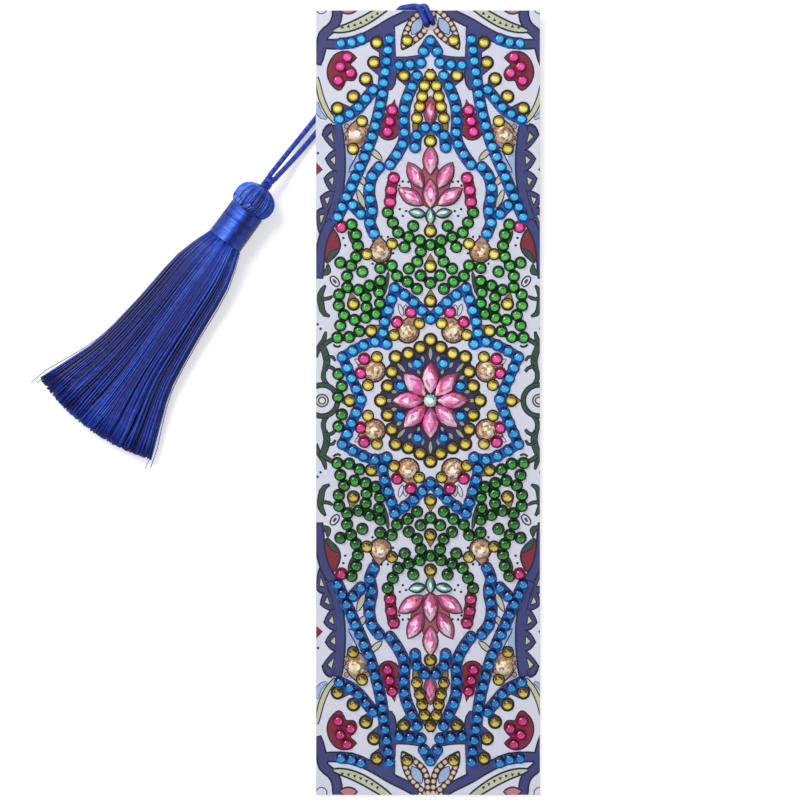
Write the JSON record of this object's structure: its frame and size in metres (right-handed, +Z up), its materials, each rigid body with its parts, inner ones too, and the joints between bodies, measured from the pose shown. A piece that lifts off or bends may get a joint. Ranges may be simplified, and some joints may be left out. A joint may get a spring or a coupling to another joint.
{
  "type": "bookmark",
  "caption": "Flat rectangular bookmark with a jewelled mandala face, a hole at the top edge and a tassel on a doubled cord.",
  "frame": {"origin": "middle of the card's underside, on the back sheet's face", "axes": "+X right, +Y along the card towards the hole and the cord, +Z up out of the decorated face"},
  "size_m": [0.1331, 0.2119, 0.0105],
  "materials": {
    "back_leather": "fine grained imitation leather",
    "printed_face": "printed imitation leather, satin",
    "drill_resin": "clear coloured resin stones",
    "pink_crystal": "faceted pink crystal with a pearly sheen",
    "champagne_crystal": "faceted champagne crystal",
    "aqua_crystal": "faceted aqua crystal",
    "satin_cord": "royal blue satin cord",
    "tassel_thread": "royal blue silky thread"
  },
  "bodies": {
    "card": {"back_sheet": "back_leather", "face_sheet": "printed_face", "drilled_film": "drill_resin", "centre_crystal": "aqua_crystal", "arch_petal_head": "pink_crystal", "arch_petal_foot": "pink_crystal", "lotus_top_petal_head": "pink_crystal", "lotus_top_petal_foot": "pink_crystal", "lotus_upper_petal_head_right": "pink_crystal", "lotus_upper_petal_head_left": "pink_crystal", "lotus_upper_petal_foot_right": "pink_crystal", "lotus_upper_petal_foot_left": "pink_crystal", "lotus_side_petal_head_right": "pink_crystal", "lotus_side_petal_head_left": "pink_crystal", "lotus_side_petal_foot_right": "pink_crystal", "lotus_side_petal_foot_left": "pink_crystal", "lotus_heart_petal_head": "pink_crystal", "lotus_heart_petal_foot": "pink_crystal", "lotus_side_sepal_head_right": "aqua_crystal", "lotus_side_sepal_head_left": "aqua_crystal", "lotus_side_sepal_foot_right": "aqua_crystal", "lotus_side_sepal_foot_left": "aqua_crystal", "lotus_foot_sepal_head": "aqua_crystal", "lotus_foot_sepal_foot": "aqua_crystal", "arch_crystal_head_right": "champagne_crystal", "arch_crystal_head_left": "champagne_crystal", "arch_crystal_foot_right": "champagne_crystal", "arch_crystal_foot_left": "champagne_crystal", "lotus_foot_crystal_head_right": "champagne_crystal", "lotus_foot_crystal_head_left": "champagne_crystal", "lotus_foot_crystal_foot_right": "champagne_crystal", "lotus_foot_crystal_foot_left": "champagne_crystal", "star_top_crystal_head_right": "champagne_crystal", "star_top_crystal_head_left": "champagne_crystal", "star_top_crystal_foot_right": "champagne_crystal", "star_top_crystal_foot_left": "champagne_crystal", "star_side_crystal_head_right": "champagne_crystal", "star_side_crystal_head_left": "champagne_crystal", "star_side_crystal_foot_right": "champagne_crystal", "star_side_crystal_foot_left": "champagne_crystal", "rosette_petal_1": "pink_crystal", "rosette_petal_2": "pink_crystal", "rosette_petal_3": "pink_crystal", "rosette_petal_4": "pink_crystal", "rosette_petal_5": "pink_crystal", "rosette_petal_6": "pink_crystal", "rosette_petal_7": "pink_crystal", "rosette_petal_8": "pink_crystal", "cord_hitch": "satin_cord"},
    "cord": {"cord_strand_left": "satin_cord", "cord_strand_right": "satin_cord", "neck_knot": "satin_cord"},
    "tassel": {"tassel_head": "tassel_thread", "neck_winding": "tassel_thread", "tassel_skirt": "tassel_thread"}
  },
  "joints": [
    {"name": "cord_swing", "type": "hinge", "parent": "card", "child": "cord", "pos_m": [-0.0078, 0.1039, -0.00115], "axis": [0, 0.0096, 1], "range_deg": [-120, 0]},
    {"name": "tassel_swing", "type": "hinge", "parent": "cord", "child": "tassel", "pos_m": [-0.0427, 0.05873, 0.00273], "axis": [0, 0.0096, 1], "range_deg": [-70, 25]}
  ]
}
